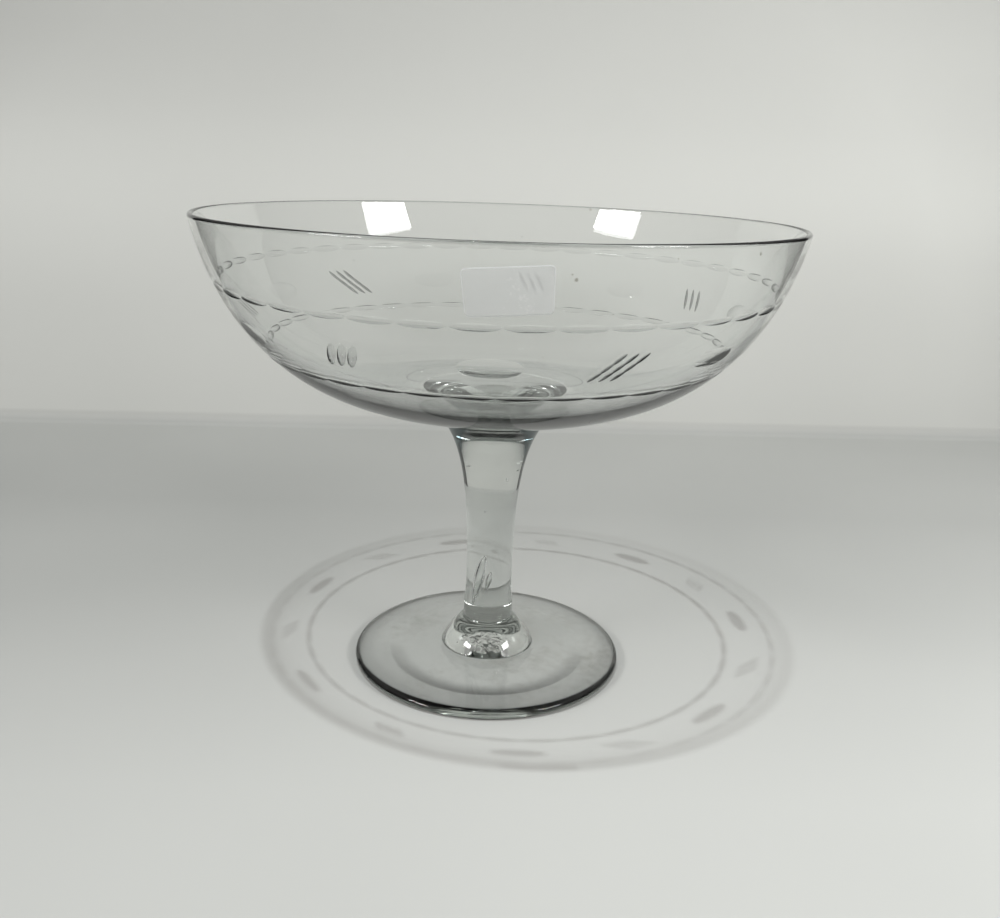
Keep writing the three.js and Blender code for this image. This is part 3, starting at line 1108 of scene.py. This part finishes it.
# %% The paper's tone and its painted light
# Painted light: the ranges and the tones up the wall stand in for how the lamps' light falls on the paper.
# Each range is where it starts and ends, and its value at either end.
floor_painted_light_range = (-0.15, 0.27, 0.60, 0.435)
floor_painted_side_light_range = (0.0, 0.5, 0.26, 0.05)
wall_painted_side_light_range = (0.20, 0.42, 0.045, 0.20)
painted_falloff_range = (0.78, 1.6, 1.0, 0.25)
drift_height = 0.10
paper_blue = 0.955
wall_painted_light = [
    (0.0, 0.667),
    (0.08, 0.692),
    (0.14, 0.707),
    (0.20, 0.742),
    (0.26, 0.777),
    (0.30, 0.765),
    (0.35, 0.72),
    (0.42, 0.67),
    (0.60, 0.58),
    (1.00, 0.50),
]


def paper_material():
    """Pale paper with painted light: its tone goes by height on the wall, darkens towards the back of the
    floor, changes from side to side and fades out far from the bowl.
    """
    material, tree, shader, output = new_material("paper_with_painted_light")
    shader.inputs["Roughness"].default_value = 0.9
    shader.inputs["Specular IOR Level"].default_value = 0.1
    place = node(tree, "ShaderNodeTexCoord").outputs["Object"]
    parts = node(tree, "ShaderNodeSeparateXYZ", {0: place})
    # Painted light: the tone by height, by depth, from side to side and far from the bowl; only the noise
    # drift is the paper's own.
    wall = node(tree, "ShaderNodeFloatCurve", {"Factor": 1.0, "Value": parts.outputs[2]})
    curve = wall.mapping.curves[0]
    curve.points[0].location = wall_painted_light[0]
    curve.points[-1].location = wall_painted_light[-1]
    for height, tone in wall_painted_light[1:-1]:
        curve.points.new(height, tone)
    wall.mapping.update()
    across, back, up = parts.outputs
    floor = ranged(tree, back, *floor_painted_light_range)
    on_wall = ranged(tree, up, 0.3 * bend_radius, 1.25 * bend_radius)
    tone = between(tree, on_wall, floor, wall.outputs[0])
    drift = node(tree, "ShaderNodeTexNoise", {"Vector": place, "Scale": 2.2, "Detail": 2.0})
    uneven = math_node(tree, "MULTIPLY_ADD", drift.outputs[0], drift_height, -drift_height / 2)
    floor_lean = ranged(tree, back, *floor_painted_side_light_range)
    lean = between(tree, on_wall, floor_lean, ranged(tree, up, *wall_painted_side_light_range))
    painted_side_light = times(tree, across, lean)
    tone = math_node(tree, "ADD", tone, math_node(tree, "ADD", uneven, painted_side_light))
    far = node(tree, "ShaderNodeVectorMath", {0: place}, operation="LENGTH").outputs["Value"]
    tone = times(tree, tone, ranged(tree, far, *painted_falloff_range))
    blue = times(tree, tone, paper_blue)
    warm = node(tree, "ShaderNodeCombineColor", {0: tone, 1: tone, 2: blue})
    tree.links.new(warm.outputs[0], shader.inputs["Base Color"])
    behind = node(tree, "ShaderNodeNewGeometry").outputs["Backfacing"]
    clear = node(tree, "ShaderNodeBsdfTransparent")
    mix = node(tree, "ShaderNodeMixShader", {0: behind, 1: shader.outputs[0], 2: clear.outputs[0]})
    tree.links.new(mix.outputs[0], output.inputs["Surface"])
    return material


sweep.data.materials.append(paper_material())

# %% [markdown]
# ## Light
# Two soft boxes stand in front of the bowl, to the left and the right, about as far round as their
# small bright reflections on the inside of the far wall say. A ceiling lamp almost overhead draws
# the ring that the rim and the cuts throw on the table. The room's own light fills the rest.

# %% Lamps
lamp_target = Vector((0, 0, 0.2))


def soft_box(name, azimuth, elevation, distance, width, height, power):
    """A rectangular lamp that faces the bowl."""
    data = bpy.data.lights.new(name, "AREA")
    data.shape = "RECTANGLE"
    data.size = width
    data.size_y = height
    data.energy = power
    lamp = placed(name, data)
    a, e = math.radians(azimuth), math.radians(elevation)
    towards = Vector((math.sin(a) * math.cos(e), -math.cos(a) * math.cos(e), math.sin(e)))
    lamp.location = lamp_target + towards * distance
    lamp.rotation_euler = towards.to_track_quat("Z", "Y").to_euler()
    print(name, "gives", power, "watts")


soft_box("right_soft_box", azimuth=57.5, elevation=29, distance=1.7, width=0.57, height=0.32, power=13)
soft_box("left_soft_box", azimuth=-58, elevation=27.4, distance=1.7, width=0.56, height=0.25, power=12)

ceiling_data = bpy.data.lights.new("ceiling_lamp", "AREA")
ceiling_data.shape = "DISK"
ceiling_data.size = 0.10
ceiling_data.energy = 94
ceiling_data.color = (0.92, 0.98, 1.0)
ceiling_lamp = placed("ceiling_lamp", ceiling_data)
ceiling_lamp.location = (-0.474, -0.88, 5.0)
ceiling_lamp.rotation_euler = ceiling_lamp.location.to_track_quat("Z", "Y").to_euler()

# %% The room's light
room_rise = (0.15, 0.6, 0.045, 0.42)
room_fall = (0.76, 0.90, 1.0, 0.05)
room_colour = (1.0, 0.985, 0.96)


def room_world():
    """A room whose upper walls are pale and light the glass. Low down and overhead it is dark."""
    world = bpy.data.worlds.new("studio_room")
    world.use_nodes = True
    tree = world.node_tree
    shade = tree.nodes["Background"]
    way = node(tree, "ShaderNodeTexCoord").outputs["Generated"]
    up = node(tree, "ShaderNodeSeparateXYZ", {0: way}).outputs[2]
    tone = times(tree, ranged(tree, up, *room_rise), ranged(tree, up, *room_fall))
    warm_tone = [times(tree, tone, share) for share in room_colour]
    colour = node(tree, "ShaderNodeCombineColor", dict(enumerate(warm_tone)))
    tree.links.new(colour.outputs[0], shade.inputs["Color"])
    bpy.context.scene.world = world


room_world()

# %% Rendering choices that belong to glass
glass_bounces = 24
scene = bpy.context.scene
scene.view_settings.view_transform = "Standard"
scene.cycles.max_bounces = glass_bounces
scene.cycles.transmission_bounces = glass_bounces
scene.cycles.transparent_max_bounces = glass_bounces
scene.cycles.glossy_bounces = 8
scene.cycles.caustics_refractive = False
scene.cycles.caustics_reflective = False
